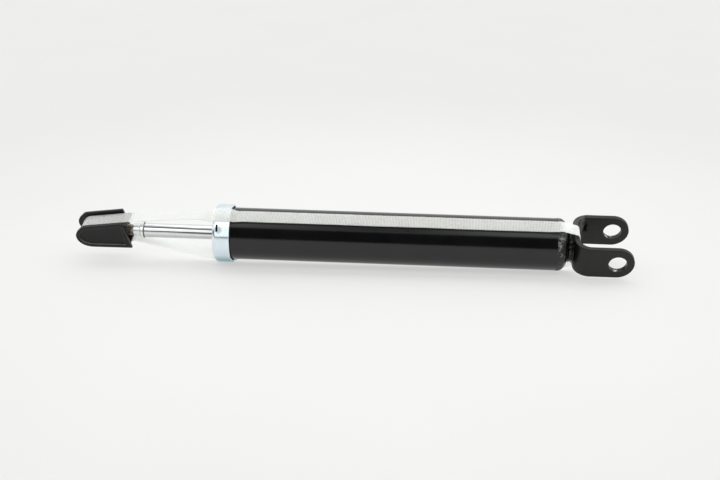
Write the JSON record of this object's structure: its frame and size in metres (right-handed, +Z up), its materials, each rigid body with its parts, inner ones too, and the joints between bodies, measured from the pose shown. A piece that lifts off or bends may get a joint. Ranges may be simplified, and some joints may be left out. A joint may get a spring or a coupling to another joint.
{
  "type": "telescopic shock absorber",
  "caption": "Twin-tube gas shock absorber with a stamped fork, plated bump cap and threaded rod stud, tied shut by a woven strap over a plastic saddle.",
  "frame": {"origin": "centre of the fork's bolt holes, midway between the ears", "axes": "+X along the damper's axis from the rod end to the fork, +Y along the bolt holes, +Z up and square to both"},
  "size_m": [0.4831, 0.0505, 0.052],
  "materials": {
    "black_paint": "satin gloss",
    "black_paint_bead": "gloss over a rippled bead",
    "weld": "thin paint over a rough bead",
    "zinc_plate": "blue-white zinc, semi-gloss",
    "chrome": "hard chrome, polished",
    "steel": "satin",
    "spring_steel": "satin",
    "sintered_steel": "fine matt",
    "bush_bronze": "satin",
    "rubber": "matt",
    "ptfe": "satin",
    "black_plastic": "satin moulded",
    "strap_webbing": "fine cross weave"
  },
  "bodies": {
    "barrel": {"reserve_tube": "black_paint", "bottom_cap": "black_paint", "closure_weld": "weld", "fork_neck": "black_paint", "neck_weld": "black_paint_bead", "fork": "black_paint", "bump_cap": "zinc_plate", "pressure_tube": "steel", "rod_guide": "sintered_steel", "guide_bush": "bush_bronze", "rod_seal": "rubber", "seal_washer": "steel", "seal_garter_spring": "spring_steel", "base_valve_body": "sintered_steel", "base_check_disc": "spring_steel", "base_disc_stack": "spring_steel", "base_valve_rivet": "steel", "base_check_spring": "spring_steel", "strap": "strap_webbing"},
    "slider": {"piston_band": "ptfe"},
    "rod": {"piston_rod": "chrome", "collar_ring": "zinc_plate", "rebound_stop_ring": "steel", "rebound_bumper": "rubber", "piston": "sintered_steel", "compression_shims": "spring_steel", "rebound_shims": "spring_steel", "shim_spacer": "steel", "piston_nut": "steel"},
    "saddle": {"strap_saddle": "black_plastic"}
  },
  "joints": [
    {"name": "rod_slide", "type": "slide", "parent": "barrel", "child": "slider", "axis": [-1, 0, 0], "range_m": [-0.031, 0.136], "deforming": ["strap"]},
    {"name": "rod_spin", "type": "hinge", "parent": "slider", "child": "rod", "pos_m": [-0.2, 0, 0], "axis": [1, 0, 0], "continuous": true},
    {"name": "saddle_pull_off", "type": "slide", "parent": "slider", "child": "saddle", "axis": [-1, 0, 0], "range_m": [0, 0.07], "deforming": ["strap"]}
  ]
}
